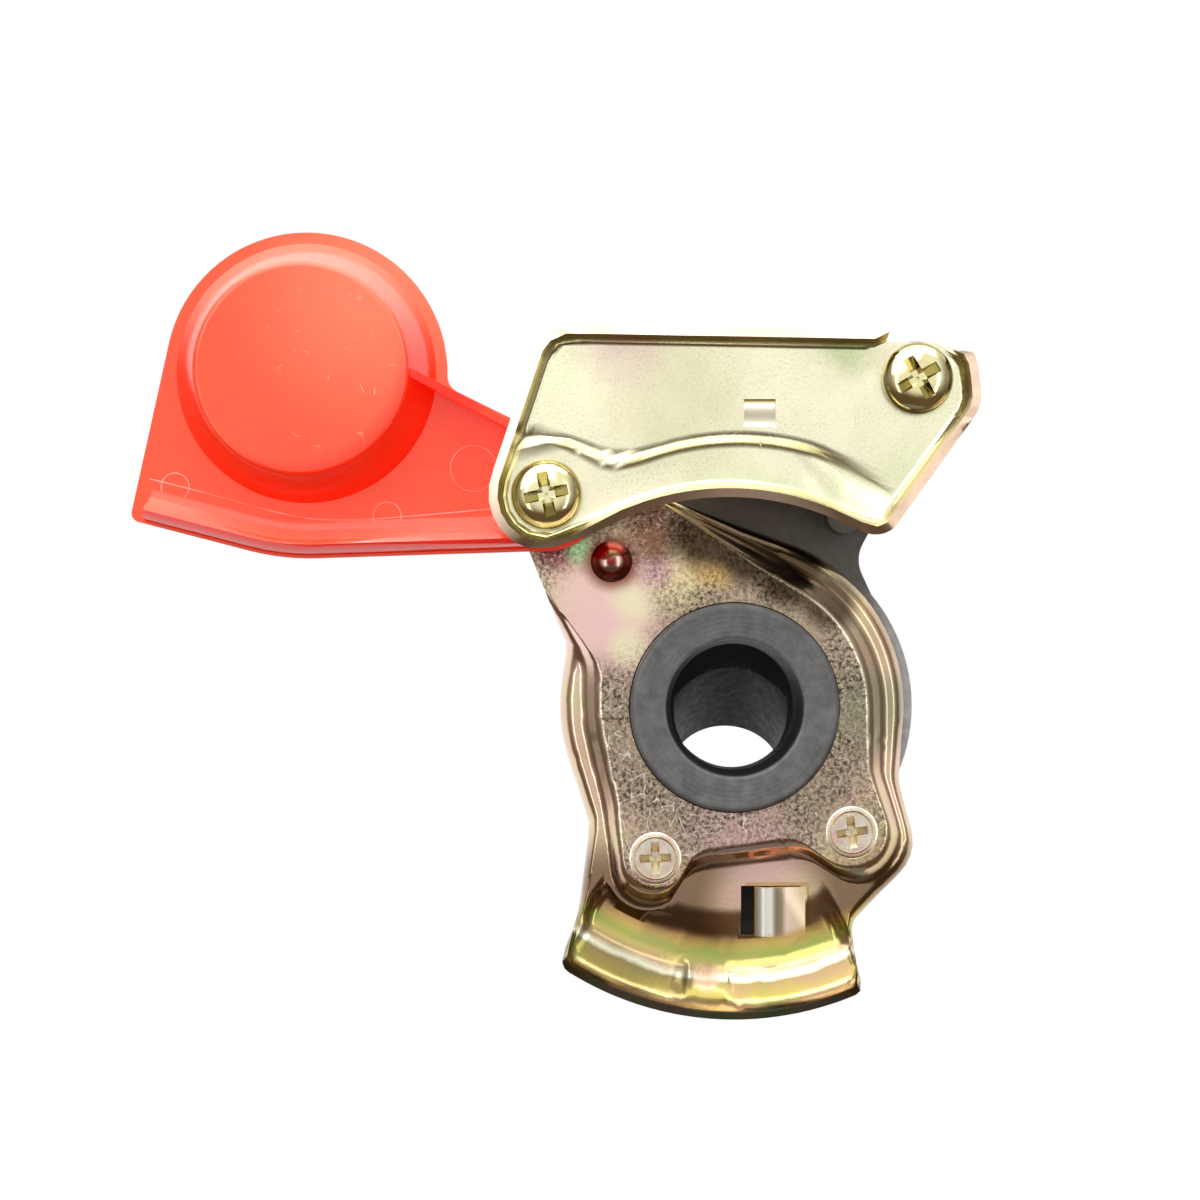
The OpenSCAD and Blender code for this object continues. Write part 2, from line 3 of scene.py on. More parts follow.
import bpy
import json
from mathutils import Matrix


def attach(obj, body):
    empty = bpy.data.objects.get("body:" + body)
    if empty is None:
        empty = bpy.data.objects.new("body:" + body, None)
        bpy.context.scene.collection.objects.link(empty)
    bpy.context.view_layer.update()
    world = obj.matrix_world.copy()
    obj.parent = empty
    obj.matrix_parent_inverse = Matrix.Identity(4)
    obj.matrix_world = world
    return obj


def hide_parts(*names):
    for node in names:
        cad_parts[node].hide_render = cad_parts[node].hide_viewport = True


bl_info = {
    "name": "Gladhand Coupler Scene",
    "version": (1, 0, 0),
    "blender": (4, 5, 0),
    "location": "View3D > Sidebar > Coupler",
    "description": "Builds the dressed coupler on its packed frame, with a studio around it",
    "category": "Object",
}

import json
import math

import bpy
import mathutils

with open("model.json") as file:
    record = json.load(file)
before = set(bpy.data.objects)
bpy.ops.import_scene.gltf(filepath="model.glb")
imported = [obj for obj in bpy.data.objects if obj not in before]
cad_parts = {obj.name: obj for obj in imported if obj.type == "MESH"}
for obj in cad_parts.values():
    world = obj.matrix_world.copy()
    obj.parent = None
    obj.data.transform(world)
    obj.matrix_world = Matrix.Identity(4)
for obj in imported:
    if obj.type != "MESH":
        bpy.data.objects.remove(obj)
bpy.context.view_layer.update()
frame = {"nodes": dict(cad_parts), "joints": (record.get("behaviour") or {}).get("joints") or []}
MM = 0.001
WHITE = (1, 1, 1)
# Turn that stands a flat ring up and makes the camera look level
TO_FRONT = (math.pi / 2, 0, 0)

# Places on the face, in mm to the right of the seal's axis and above it
PIVOT = [frame["joints"][0]["pos_m"][axis] / MM for axis in (0, 2)]
PILLAR = (29.95, 55.75)
GUIDE_PIT = (3.57, 50)
LIP_DIMPLE = (-4.7, -47.4)
COVER_DOME = (-75.5, 60.5)
PARTING_LINE = ((-100.6, 39.4), (-92.0, 37.3), (-82.5, 34.6), (-74.4, 32.6), (-66.0, 32.2), (-54.0, 33.1),
                (-41.0, 34.3))
# Place and radius of the pin marks, and of the guide's corners
PIN_MARKS = (((-45.0, 41.2), 3.95), ((-96.2, 38.0), 2.4), ((-59.8, 33.0), 2.4))
GUIDE_CORNERS = ((-28.3, 58.0, 6.5), (22.7, 33.7, 4.3), (34.3, 52.7, 6), (33.0, 56.5, 7))
# Left, right, low and high
WINDOW = (2.2, 13.0, -40.6, -30.8)
TAB = (3.7, 12.6, -39.9, -31.5)
TAB_START, TAB_WIDTH = 3.6, 9

# Sizes in mm, with heights from the seal's face towards the viewer
FLANGE_REACH, FLANGE_FRONT = 1.5, -4
SEAL_BACK = -8.4
THROAT_RADIUS, THROAT_FRONT = 11, -6.4
LINE_RADIUS, LINE_HEIGHT = 0.11, 2.12
MARK_RADIUS, MARK_HEIGHT = 0.1, 2.11
# Bore, outer radius, back and front
SLEEVE = (3.05, 4.5, -2.2, 9.5)
SLEEVE_CHAMFER = 0.2
DOME_RADIUS = 3.7
HEAD_TOP = -2.2
# Piece, node, place, height of the seat and of the tip, turn of the recess in degrees
PAN_SCREWS = (("pivot_pan_screw", "pivot_screw", PIVOT, 11.0, -16, 12),
              ("guide_pan_screw", "guide_screw", PILLAR, 12.2, -6, 30))
# Place, turn of the recess in degrees
FACE_SCREWS = (((-13.7, -26.1), 2), ((20.4, -21.6), 8))
# Shares of a recess's reach and width that are left at its floor
RECESS_FLOOR = (0.36, 0.5)

# The hose port's axis: degrees down from level, and its depth in mm behind the seal's face
PORT_TILT, PORT_ROOT = 35, 16

# Depths of the guide's pressed forms along y, in mm, each as the two ends of a soft edge
GUIDE_RIM = (-12.9, -13.6)
PIT_FLOOR = (-12.15, -11.9)
# The crest depths bound the painted shade above the seat's step, the step foot's depths its painted highlight
CREST_FRONT = (-12.7, -12.4)
CREST_BACK = (-11.7, -12.0)
STEP_FOOT = (-12.0, -11.7)
STEP_RISE = (-12.1, -11.2)

# Bands of the bayonet lip and rings of the seal, in mm
LIP_WAVE, LIP_INNER, LIP_WIDTH = 1.6, 40.8, 14
RING_PITCH = 0.8727
# Strength of the painted glow: an emission that stands for light through the cover
COVER_GLOW = 0.15

# Tints of the guide: place, inner and outer radius and wander of the edge in mm, colour
GUIDE_TINTS = (
    ((-10, 52), 3, 20, 6, (0.78, 0.76, 0.50)), ((-19, 63), 2, 11, 5, (0.80, 0.64, 0.52)),
    ((18, 62), 2, 8, 4, (0.64, 0.72, 0.40)))
# Tints of the face plate, some of them painted shade and a painted reflection: place, inner and outer radius
# in mm, colour
FACE_TINTS = (
    ((0, 0), 21, 30, (0.58, 0.45, 0.32)), ((24, 0), 3, 12, (0.42, 0.38, 0.25)),
    ((26, 12), 2, 7, (0.62, 0.46, 0.30)), ((-1, -21), 3, 11, (0.74, 0.52, 0.45)),
    ((-23, 15), 3, 15, (0.97, 0.64, 0.60)), ((-10, 22.5), 1, 8, (0.97, 0.80, 0.46)),
    ((-18.5, 10.5), 1, 5, (0.98, 0.86, 0.60)), ((-17.5, 18), 1, 6, (0.97, 0.87, 0.58)),
    ((-14, 24.5), 1, 5, (0.86, 0.54, 0.52)), ((-3.5, 24.5), 1, 6, (0.86, 0.58, 0.22)),
    # Painted shade under the guide and its arm: the dark patches from (-5, 30.5) to (16.5, 18.5)
    ((-14, 30), 2, 7, (0.34, 0.17, 0.10)), ((-5, 30.5), 4, 9, (0.11, 0.07, 0.04)),
    ((2.5, 27.5), 4, 8, (0.10, 0.066, 0.04)), ((10, 23.5), 4, 8, (0.10, 0.066, 0.04)),
    ((16.5, 18.5), 3, 7, (0.15, 0.105, 0.066)), ((5, -25.5), 1, 11, (0.86, 0.58, 0.52)),
    ((-31, 28), 1, 7, (0.40, 0.11, 0.13)), ((-26.5, 27.5), 0.5, 4, (0.50, 0.80, 0.40)),
    # Painted shade round the pressed bump, reddened as a painted reflection of the red cover: the two rings
    # at (-21.3, 25.3)
    ((-21.3, 25.3), 3.0, 6, (0.28, 0.09, 0.055)), ((-21.3, 25.3), 2.2, 3.3, (0.34, 0.04, 0.035)))
# Wander of those edges, as a share of their width
FACE_WANDER = 0.3

# Stage, in metres, with the camera's sensor in millimetres
CAMERA_AT = (-0.02328, -0.480, 0.01862)
SENSOR_WIDTH = 36
FLOOR_AT, FLOOR_RADIUS, FLOOR_EDGE = (-0.02, 0, -0.42), 0.24, 0.004
LAMP_TARGET = (-0.01, 0, 0.02)
# Lamp, setting of its power, size, place
LAMPS = (
    ("key_softbox", "key", (1.2, 0.9), (-0.35, -0.65, 0.60)),
    ("overhead_softbox", "overhead", (0.9, 0.6), (0.0, -0.1, 0.60)),
    ("left_strip", "strips", (0.16, 0.7), (-0.42, -0.68, 0.05)),
    ("right_strip", "strips", (0.16, 0.7), (0.42, -0.68, 0.05)),
    ("glint_strip", "glint", (0.9, 0.02), (-0.2, -0.2, 0.6)))


class CouplerSizes(bpy.types.PropertyGroup):
    """Sizes of the pieces that are modelled here."""

    seal_radius: bpy.props.FloatProperty(
        name="Seal radius", description="Outer radius of the seal's face", default=18.1 * MM, unit="LENGTH")
    seal_bore: bpy.props.FloatProperty(
        name="Seal bore", description="Radius of the bore through the seal",
        default=11.85 * MM, unit="LENGTH")
    pan_radius: bpy.props.FloatProperty(
        name="Pan head radius", description="Radius of the two pan heads", default=6 * MM, unit="LENGTH")
    pan_height: bpy.props.FloatProperty(
        name="Pan head height", description="Height of the two pan heads", default=4.2 * MM, unit="LENGTH")
    face_radius: bpy.props.FloatProperty(
        name="Countersunk head radius", description="Radius of the two flat heads",
        default=4.6 * MM, unit="LENGTH")
    cover_edge: bpy.props.FloatProperty(
        name="Cover edge", description="Radius of the cover's moulded edges",
        default=0.25 * MM, unit="LENGTH")
    cast_edge: bpy.props.FloatProperty(
        name="Cast edge", description="Radius of the casting's edges", default=0.5 * MM, unit="LENGTH")


class CouplerColours(bpy.types.PropertyGroup):
    """Base colours of the finishes."""

    zinc_gold: bpy.props.FloatVectorProperty(
        name="Zinc gold", description="Pale gold of the passivated zinc", subtype="COLOR",
        default=(0.94, 0.90, 0.64), min=0, max=1)
    zinc_green: bpy.props.FloatVectorProperty(
        name="Zinc green", description="Green tone of the passivated zinc", subtype="COLOR",
        default=(0.87, 0.89, 0.58), min=0, max=1)
    zinc_bronze: bpy.props.FloatVectorProperty(
        name="Zinc bronze", description="Bronze tone of the passivated zinc", subtype="COLOR",
        default=(0.72, 0.53, 0.31), min=0, max=1)
    casting: bpy.props.FloatVectorProperty(
        name="Casting", description="Grey of the cast body", subtype="COLOR",
        default=(0.40, 0.40, 0.41), min=0, max=1)
    rubber: bpy.props.FloatVectorProperty(
        name="Rubber", description="Black of the seal", subtype="COLOR",
        default=(0.086, 0.086, 0.085), min=0, max=1)
    cover_red: bpy.props.FloatVectorProperty(
        name="Cover red", description="Red of the moulded cover", subtype="COLOR",
        default=(1.0, 0.092, 0.026), min=0, max=1)


class StageSettings(bpy.types.PropertyGroup):
    """Camera and light of the studio."""

    lens: bpy.props.FloatProperty(
        name="Lens", description="Focal length of the camera in millimetres", default=83.52)
    overhead: bpy.props.FloatProperty(
        name="Overhead light", description="Power of the overhead softbox", default=2.6, unit="POWER")
    key: bpy.props.FloatProperty(
        name="Key light", description="Power of the softbox above the camera", default=5.0, unit="POWER")
    strips: bpy.props.FloatProperty(
        name="Side strips", description="Power of each side strip", default=0.6, unit="POWER")
    glint: bpy.props.FloatProperty(
        name="Glint strip", description="Power of the narrow strip above, for crisp highlights",
        default=0.5, unit="POWER")
    surround: bpy.props.FloatProperty(
        name="Surround", description="Brightness of the studio's walls", default=1.0)
    front_dim: bpy.props.FloatProperty(
        name="Camera side", description="Share of that brightness on the camera's side", default=0.95)
    below: bpy.props.FloatVectorProperty(
        name="Below", description="Colour of the dark side of the studio", subtype="COLOR",
        default=(0.12, 0.08, 0.048), min=0, max=1)


def only(piece):
    """Makes one object the selected and active one."""
    if bpy.context.object and bpy.context.object.mode != "OBJECT":
        bpy.ops.object.mode_set(mode="OBJECT")
    bpy.ops.object.select_all(action="DESELECT")
    if piece is not None:
        piece.select_set(True)
        bpy.context.view_layer.objects.active = piece
    return piece


def apply_modifier(piece, kind, **settings):
    """Adds a modifier to a piece and applies it."""
    only(piece)
    modifier = piece.modifiers.new(kind.title(), kind)
    for key, value in settings.items():
        setattr(modifier, key, value)
    bpy.ops.object.modifier_apply(modifier=modifier.name)


def node_copy(node, name, flat_angle=0.4):
    """Copies a CAD node's mesh into a piece of its own, with its loose triangles merged."""
    piece = bpy.data.objects.new(name, frame["nodes"][node].data.copy())
    bpy.context.scene.collection.objects.link(piece)
    only(piece)
    bpy.ops.mesh.customdata_custom_splitnormals_clear()
    bpy.ops.object.mode_set(mode="EDIT")
    bpy.ops.mesh.select_all(action="SELECT")
    bpy.ops.mesh.remove_doubles(threshold=0.002 * MM)
    bpy.ops.mesh.dissolve_limited(angle_limit=math.radians(flat_angle))
    bpy.ops.object.mode_set(mode="OBJECT")
    return piece


def paint(piece, material):
    """Gives a piece one material all over."""
    piece.data.materials.clear()
    piece.data.materials.append(material)


def soften(piece, width, angle=35):
    """Rounds the sharp edges of a piece."""
    apply_modifier(piece, "BEVEL", width=width, segments=2, limit_method="ANGLE",
                   angle_limit=math.radians(angle), use_clamp_overlap=True, miter_outer="MITER_ARC")


def runs_round(a, b, corner):
    """Says whether an edge from a to b runs round a corner [x, z, radius] in mm, near its curve."""
    x, z, radius = corner
    run = b - a
    out = (a + b) / 2 - mathutils.Vector((x * MM, 0, z * MM))
    out.y = 0
    close = 0.4 * radius * MM < out.length < (radius + 1.5) * MM
    level = abs(run.y) < 0.3 * run.length
    across = abs(run.dot(out)) < 0.4 * run.length * out.length
    return close and level and across and run.length > 0.7 * MM


def round_corners(piece, corners, cuts=3):
    """Cuts the edges that run round the corners into smooth curves."""
    only(piece)
    bpy.ops.object.mode_set(mode="EDIT")
    bpy.ops.mesh.select_mode(type="EDGE")
    bpy.ops.mesh.select_all(action="SELECT")
    bpy.ops.mesh.tris_convert_to_quads(face_threshold=math.radians(40), shape_threshold=math.radians(70))
    bpy.ops.mesh.select_all(action="DESELECT")
    bpy.ops.object.mode_set(mode="OBJECT")
    points = piece.data.vertices
    for edge in piece.data.edges:
        a, b = (points[i].co for i in edge.vertices)
        edge.select = any(runs_round(a, b, corner) for corner in corners)
    bpy.ops.object.mode_set(mode="EDIT")
    bpy.ops.mesh.subdivide(number_cuts=cuts, smoothness=1.0)
    bpy.ops.object.mode_set(mode="OBJECT")


def finish_piece(piece, slot, body, *nodes, smooth=35):
    """Gives a piece smooth shading, hangs it on its body and hides the CAD nodes that it stands for."""
    only(piece)
    bpy.ops.object.transform_apply(location=True, rotation=True, scale=True)
    bpy.ops.object.shade_smooth_by_angle(angle=math.radians(smooth))
    apply_modifier(piece, "WEIGHTED_NORMAL", keep_sharp=True, weight=75, thresh=0.01)
    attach(piece, body)
    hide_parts(*nodes)
    return piece


def turned(name, at, profile, segments=96, closed=False):
    """Turns a profile [radius, height] in mm round an axis along y, at a point of the face."""
    only(None)
    start = profile[0]
    centre = (at[0] * MM, -start[1] * MM, at[1] * MM)
    bpy.ops.mesh.primitive_circle_add(
        vertices=segments, radius=start[0] * MM, fill_type="NOTHING" if closed else "NGON",
        location=centre, rotation=TO_FRONT)
    piece = bpy.context.object
    piece.name = name
    bpy.ops.object.transform_apply(location=True, rotation=True, scale=True)
    bpy.ops.object.mode_set(mode="EDIT")
    bpy.ops.mesh.select_mode(type="EDGE")
    bpy.ops.mesh.select_all(action="SELECT")
    if not closed:
        bpy.ops.mesh.region_to_loop()
    stops = profile[1:] + ([start] if closed else [])
    last = start
    for stop in stops:
        bpy.ops.mesh.extrude_edges_move(TRANSFORM_OT_translate={"value": (0, (last[1] - stop[1]) * MM, 0)})
        share = stop[0] / last[0]
        bpy.ops.transform.resize(
            value=(share, 1, share), center_override=(at[0] * MM, -stop[1] * MM, at[1] * MM))
        last = stop
    if not closed:
        bpy.ops.mesh.edge_face_add()
    bpy.ops.mesh.select_all(action="SELECT")
    bpy.ops.mesh.remove_doubles(threshold=0.001 * MM)
    bpy.ops.mesh.normals_make_consistent(inside=False)
    bpy.ops.object.mode_set(mode="OBJECT")
    return piece


def recess_cutter(at, top, depth, reach, width, turn):
    """Tapered blade of the cross recess, as a cutter, with its stated size at the head's surface."""
    only(None)
    bpy.ops.mesh.primitive_cube_add(size=1, location=(0, 0, 0))
    blade = bpy.context.object
    bpy.ops.transform.resize(value=(2 * reach * MM, 2 * depth * MM, width * MM))
    bpy.ops.object.transform_apply(location=True, rotation=True, scale=True)
    for side, share in ((1, RECESS_FLOOR), (-1, [2 - part for part in RECESS_FLOOR])):
        bpy.ops.object.mode_set(mode="EDIT")
        bpy.ops.mesh.select_mode(type="FACE")
        bpy.ops.mesh.select_all(action="DESELECT")
        bpy.ops.object.mode_set(mode="OBJECT")
        for face in blade.data.polygons:
            face.select = face.normal.y * side > 0.9
        bpy.ops.object.mode_set(mode="EDIT")
        bpy.ops.transform.resize(value=(share[0], 1, share[1]))
        bpy.ops.object.mode_set(mode="OBJECT")
    blade.rotation_euler = (0, -math.radians(turn), 0)
    blade.location = (at[0] * MM, -top * MM, at[1] * MM)
    bpy.ops.object.transform_apply(location=True, rotation=True, scale=True)
    return blade


def core_cutter(at, top, depth, radius):
    """Cone at the middle of the cross recess, as a cutter."""
    only(None)
    bpy.ops.mesh.primitive_cone_add(
        vertices=30, radius1=2 * radius * MM, radius2=0.12 * radius * MM, depth=2 * depth * MM,
        location=(at[0] * MM, -top * MM, at[1] * MM), rotation=(-math.pi / 2, 0, 0))
    bpy.ops.object.transform_apply(location=True, rotation=True, scale=True)
    return bpy.context.object


def cut_recess(piece, at, top, depth, reach, width, turn):
    """Sinks a cross recess into a screw's head."""
    cutters = [recess_cutter(at, top, depth, reach, width, turn + angle) for angle in (0, 90)]
    cutters.append(core_cutter(at, top, depth * 1.1, width * 0.72))
    for cutter in cutters:
        apply_modifier(piece, "BOOLEAN", operation="DIFFERENCE", object=cutter, solver="EXACT")
        bpy.data.objects.remove(cutter)


def put(material, socket, value):
    """Sets a socket to a value, or links it to another node's output."""
    if isinstance(value, bpy.types.NodeSocket):
        material.node_tree.links.new(value, socket)
    elif socket.type == "RGBA" and len(value) == 3:
        socket.default_value = (*value, 1)
    else:
        socket.default_value = value


def add(material, kind, out=0, settings=None, **inputs):
    """Adds a shader node and returns one of its outputs."""
    node = material.node_tree.nodes.new(kind)
    for key, value in (settings or {}).items():
        setattr(node, key, value)
    for key, value in inputs.items():
        put(material, node.inputs[key.replace("_", " ")], value)
    return node.outputs[out]


def shade(colour, share):
    """Colour with each of its parts multiplied."""
    return tuple(share * part for part in colour)


def ramp(material, factor, *stops):
    """Colour ramp through stops (position, colour or grey)."""
    node = material.node_tree.nodes.new("ShaderNodeValToRGB")
    put(material, node.inputs[0], factor)
    points = node.color_ramp.elements
    while len(points) < len(stops):
        points.new(0.5)
    for point, (position, colour) in zip(points, stops):
        point.position = position
        point.color = (*colour, 1) if hasattr(colour, "__len__") else (colour, colour, colour, 1)
    return node.outputs[0]


def blend(material, factor, a, b, kind="MIX"):
    """Mixes two colours. The node has its colours at inputs 6 and 7 and at output 2."""
    node = material.node_tree.nodes.new("ShaderNodeMix")
    node.data_type = "RGBA"
    node.blend_type = kind
    put(material, node.inputs["Factor"], factor)
    put(material, node.inputs[6], a)
    put(material, node.inputs[7], b)
    return node.outputs[2]


def maths(material, operation, *values, kind="ShaderNodeMath", out=0):
    """One step of maths on numbers."""
    node = material.node_tree.nodes.new(kind)
    node.operation = operation
    for socket, value in zip(node.inputs, values):
        put(material, socket, value)
    return node.outputs[out]


def vector(material, operation, *values, out="Vector"):
    """One step of maths on vectors."""
    return maths(material, operation, *values, kind="ShaderNodeVectorMath", out=out)


def product(material, first, *others):
    """Multiplies numbers."""
    for other in others:
        first = maths(material, "MULTIPLY", first, other)
    return first


def inverse(material, value):
    """1 less a number."""
    return maths(material, "SUBTRACT", 1.0, value)


def rise(material, value, low, high, start=0.0, end=1.0):
    """Smooth step from one level to another, between two values."""
    return add(material, "ShaderNodeMapRange", settings={"interpolation_type": "SMOOTHSTEP"}, Value=value,
               From_Min=low, From_Max=high, To_Min=start, To_Max=end)


def between(material, value, low, high):
    """0 up to one length in mm and 1 from another on."""
    return rise(material, value, low * MM, high * MM)


def position(material):
    """Object coordinates."""
    return add(material, "ShaderNodeTexCoord", "Object")


def part_of(material, axis):
    """One Object coordinate: X to the right, Y backwards, Z up."""
    return add(material, "ShaderNodeSeparateXYZ", axis, Vector=position(material))


def noise(material, scale, detail=2.0, rough=0.5):
    """Noise on Object coordinates, with its scale per metre."""
    return add(material, "ShaderNodeTexNoise", Vector=position(material), Scale=scale, Detail=detail,
               Roughness=rough)


def wander(material, scale, detail, low, high):
    """Level that wanders between two values."""
    return ramp(material, noise(material, scale, detail), (0.3, low), (0.7, high))


def on_face(material, where):
    """Lays a place flat on the face."""
    return vector(material, "MULTIPLY", where, (1, 0, 1))


def near(material, at, inner, outer, warp=0.0):
    """1 close to a point of the face, falling to 0 between two radii in mm, with an edge that may wander."""
    where = position(material)
    if warp:
        cloud = add(material, "ShaderNodeTexNoise", "Color", Vector=where, Scale=130.0, Detail=3.0)
        shift = vector(material, "SUBTRACT", cloud, (0.5, 0.5, 0.5))
        where = vector(material, "MULTIPLY_ADD", shift, (2 * warp * MM,) * 3, where)
    middle = (at[0] * MM, 0, at[1] * MM)
    away = vector(material, "DISTANCE", on_face(material, where), middle, out="Value")
    return rise(material, away, inner * MM, outer * MM, 1.0, 0.0)


def oblong(material, left, right, low, high, soft=0.4):
    """1 in an oblong of the face with its sides in mm, 0 outside it."""
    across, up = part_of(material, "X"), part_of(material, "Z")
    return product(material, between(material, across, left - soft, left),
                   between(material, across, right + soft, right),
                   between(material, up, low - soft, low), between(material, up, high + soft, high))


def facing(material, low, high, axis="Y", sign=-1.0):
    """1 where the surface faces one way, which is the front unless said, and 0 where it turns away."""
    normal = add(material, "ShaderNodeTexCoord", "Normal")
    along = add(material, "ShaderNodeSeparateXYZ", axis, Vector=normal)
    return rise(material, product(material, along, sign), low, high)


def from_axis(material):
    """Distance from the seal's axis, in metres."""
    return vector(material, "LENGTH", on_face(material, position(material)), out="Value")


def from_port(material):
    """Distance from the hose port's axis, in metres."""
    tilt = math.radians(PORT_TILT)
    where = vector(material, "SUBTRACT", position(material), (0, PORT_ROOT * MM, 0))
    across = vector(material, "CROSS_PRODUCT", where, (0, math.cos(tilt), -math.sin(tilt)))
    return vector(material, "LENGTH", across, out="Value")


def speckle(material, size, low, high, dark):
    """Dark grain: grey between dark and 1, with grains of a size in mm."""
    return ramp(material, noise(material, 1 / (size * MM), 4, 0.7), (low, dark), (high, 1.0))


def scratches(material, cell, width, clear):
    """Thin broken lines: 1 on a scratch, 0 elsewhere."""
    where = position(material)
    cloud = add(material, "ShaderNodeTexNoise", "Color", Vector=where, Scale=180.0)
    bent = vector(material, "MULTIPLY_ADD", cloud, (4 * MM,) * 3, where)
    lines = add(material, "ShaderNodeTexVoronoi", settings={"feature": "DISTANCE_TO_EDGE"},
                Vector=bent, Scale=1 / (cell * MM))
    thin = ramp(material, lines, (0.0, 1.0), (width, 0.0))
    broken = ramp(material, noise(material, 420, 2), (clear, 0.0), (clear + 0.06, 1.0))
    return product(material, thin, broken)


def new_finish(name, **values):
    """Starts a material with one Principled shader, with some of its values set."""
    material = bpy.data.materials.new(name)
    material.use_nodes = True
    nodes = material.node_tree.nodes
    nodes.clear()
    output = nodes.new("ShaderNodeOutputMaterial")
    shader = nodes.new("ShaderNodeBsdfPrincipled")
    put(material, output.inputs["Surface"], shader.outputs[0])
    for key, value in values.items():
        put(material, shader.inputs[key.replace("_", " ")], value)
    return material, shader


def dress(material, shader, colour, roughness):
    """Gives a finish its colour and its roughness."""
    put(material, shader.inputs["Base Color"], colour)
    put(material, shader.inputs["Roughness"], roughness)


def bump(material, shader, height, distance):
    """Raises the surface by up to a distance in mm, on top of any bump that the finish has."""
    under = {"Normal": link.from_socket for link in shader.inputs["Normal"].links}
    raised = add(material, "ShaderNodeBump", Height=height, Strength=1.0, Distance=distance * MM, **under)
    put(material, shader.inputs["Normal"], raised)


def guide_zinc(colours):
    """Pale gold passivated zinc of the guide plate, with a cream cut edge, painted shade above the seat's
    step, a painted highlight at its foot and painted light and shade on the rim walls.
    """
    material, shader = new_finish("guide_zinc", Metallic=1.0)
    across, depth = part_of(material, "X"), part_of(material, "Y")
    tone = ramp(material, noise(material, 38, 3, 0.55),
                (0.36, colours.zinc_green), (0.48, (0.94, 0.91, 0.66)),
                (0.60, colours.zinc_gold), (0.74, (0.93, 0.82, 0.64)))
    for at, inner, outer, warp, tint in GUIDE_TINTS:
        tone = blend(material, near(material, at, inner, outer, warp), tone, tint)
    pit = product(material, near(material, GUIDE_PIT, 3.4, 3.8), between(material, depth, *PIT_FLOOR))
    tone = blend(material, pit, tone, (0.92, 0.85, 0.68))
    slope = inverse(material, facing(material, 0.90, 0.99))
    # Painted shade on the slope above the seat's step
    painted_crest_light = product(material, slope, between(material, depth, *CREST_FRONT),
                    between(material, depth, *CREST_BACK))
    tone = blend(material, product(material, painted_crest_light, 0.55), tone, (0.40, 0.36, 0.20))
    # Painted highlight along the foot of the seat's step
    painted_foot_highlight = product(material, slope, between(material, depth, *STEP_FOOT), between(material, across, 22, 12))
    tone = blend(material, product(material, painted_foot_highlight, 0.8), tone, (0.94, 0.84, 0.34))
    tone = blend(material, 1.0, tone, speckle(material, 0.3, 0.32, 0.48, 0.80), "MULTIPLY")
    # Painted light and shade on the rim walls: their colour follows which way they face
    lit = maths(material, "MAXIMUM", facing(material, 0.25, 0.7, "Z", 1.0), facing(material, 0.25, 0.7, "X"))
    lit_and_shaded_wall = blend(material, lit, (0.54, 0.44, 0.20), (0.40, 0.30, 0.19))
    rim = blend(material, facing(material, 0.6, 0.9), lit_and_shaded_wall, (0.70, 0.52, 0.39))
    dress(material, shader, blend(material, between(material, depth, *GUIDE_RIM), tone, rim),
          wander(material, 160, 4, 0.23, 0.31))
    bump(material, shader, noise(material, 1500, 3), 0.008)
    step = product(material, between(material, depth, *STEP_RISE), between(material, across, 18, 9))
    bump(material, shader, step, 0.95)
    return material


def face_patches(material, colours):
    """Tints of the face plate: bronze all over, pale at the upper left, painted shade under the guide's arm,
    and painted shade with a red painted reflection round the pressed bump.
    """
    tone = ramp(material, noise(material, 52, 3, 0.55),
                (0.32, colours.zinc_bronze), (0.44, (0.84, 0.70, 0.42)),
                (0.56, (0.86, 0.60, 0.46)), (0.70, colours.zinc_bronze))
    for at, inner, outer, tint in FACE_TINTS:
        warp = FACE_WANDER * (outer - inner)
        tone = blend(material, near(material, at, inner, outer, warp), tone, tint)
    return tone


def lip_bands(material, away):
    """Rainbow bands along the bayonet lip, by the distance from the seal's axis, with painted light in them:
    a pale painted highlight along the ridge and dark painted shade bands.
    """
    wavy = maths(material, "MULTIPLY_ADD", noise(material, 170, 3), LIP_WAVE * MM, away)
    share = product(material, maths(material, "SUBTRACT", wavy, LIP_INNER * MM), 1 / (LIP_WIDTH * MM))
    # Besides the zinc's rainbow, the pale band at 0.545 is a painted highlight along the ridge and the dark
    # bands are painted shade
    rainbow_and_painted_light = ramp(material, share,
                 (0.02, (0.62, 0.32, 0.12)), (0.14, (0.72, 0.52, 0.15)), (0.25, (0.40, 0.50, 0.11)),
                 (0.35, (0.52, 0.42, 0.15)), (0.46, (0.44, 0.28, 0.20)), (0.545, (0.92, 0.86, 0.70)),
                 (0.60, (0.24, 0.155, 0.085)), (0.76, (0.31, 0.26, 0.06)), (0.875, (0.66, 0.58, 0.34)),
                 (0.925, (0.10, 0.096, 0.075)))
    shimmer = ramp(material, noise(material, 120, 2),
                   (0.38, (0.36, 0.46, 0.12)), (0.5, (0.60, 0.48, 0.15)), (0.64, (0.60, 0.36, 0.27)))
    dimple = product(material, near(material, LIP_DIMPLE, 1.6, 3.0), 0.7)
    return blend(material, dimple, blend(material, 0.22, rainbow_and_painted_light, shimmer), (0.50, 0.30, 0.21))


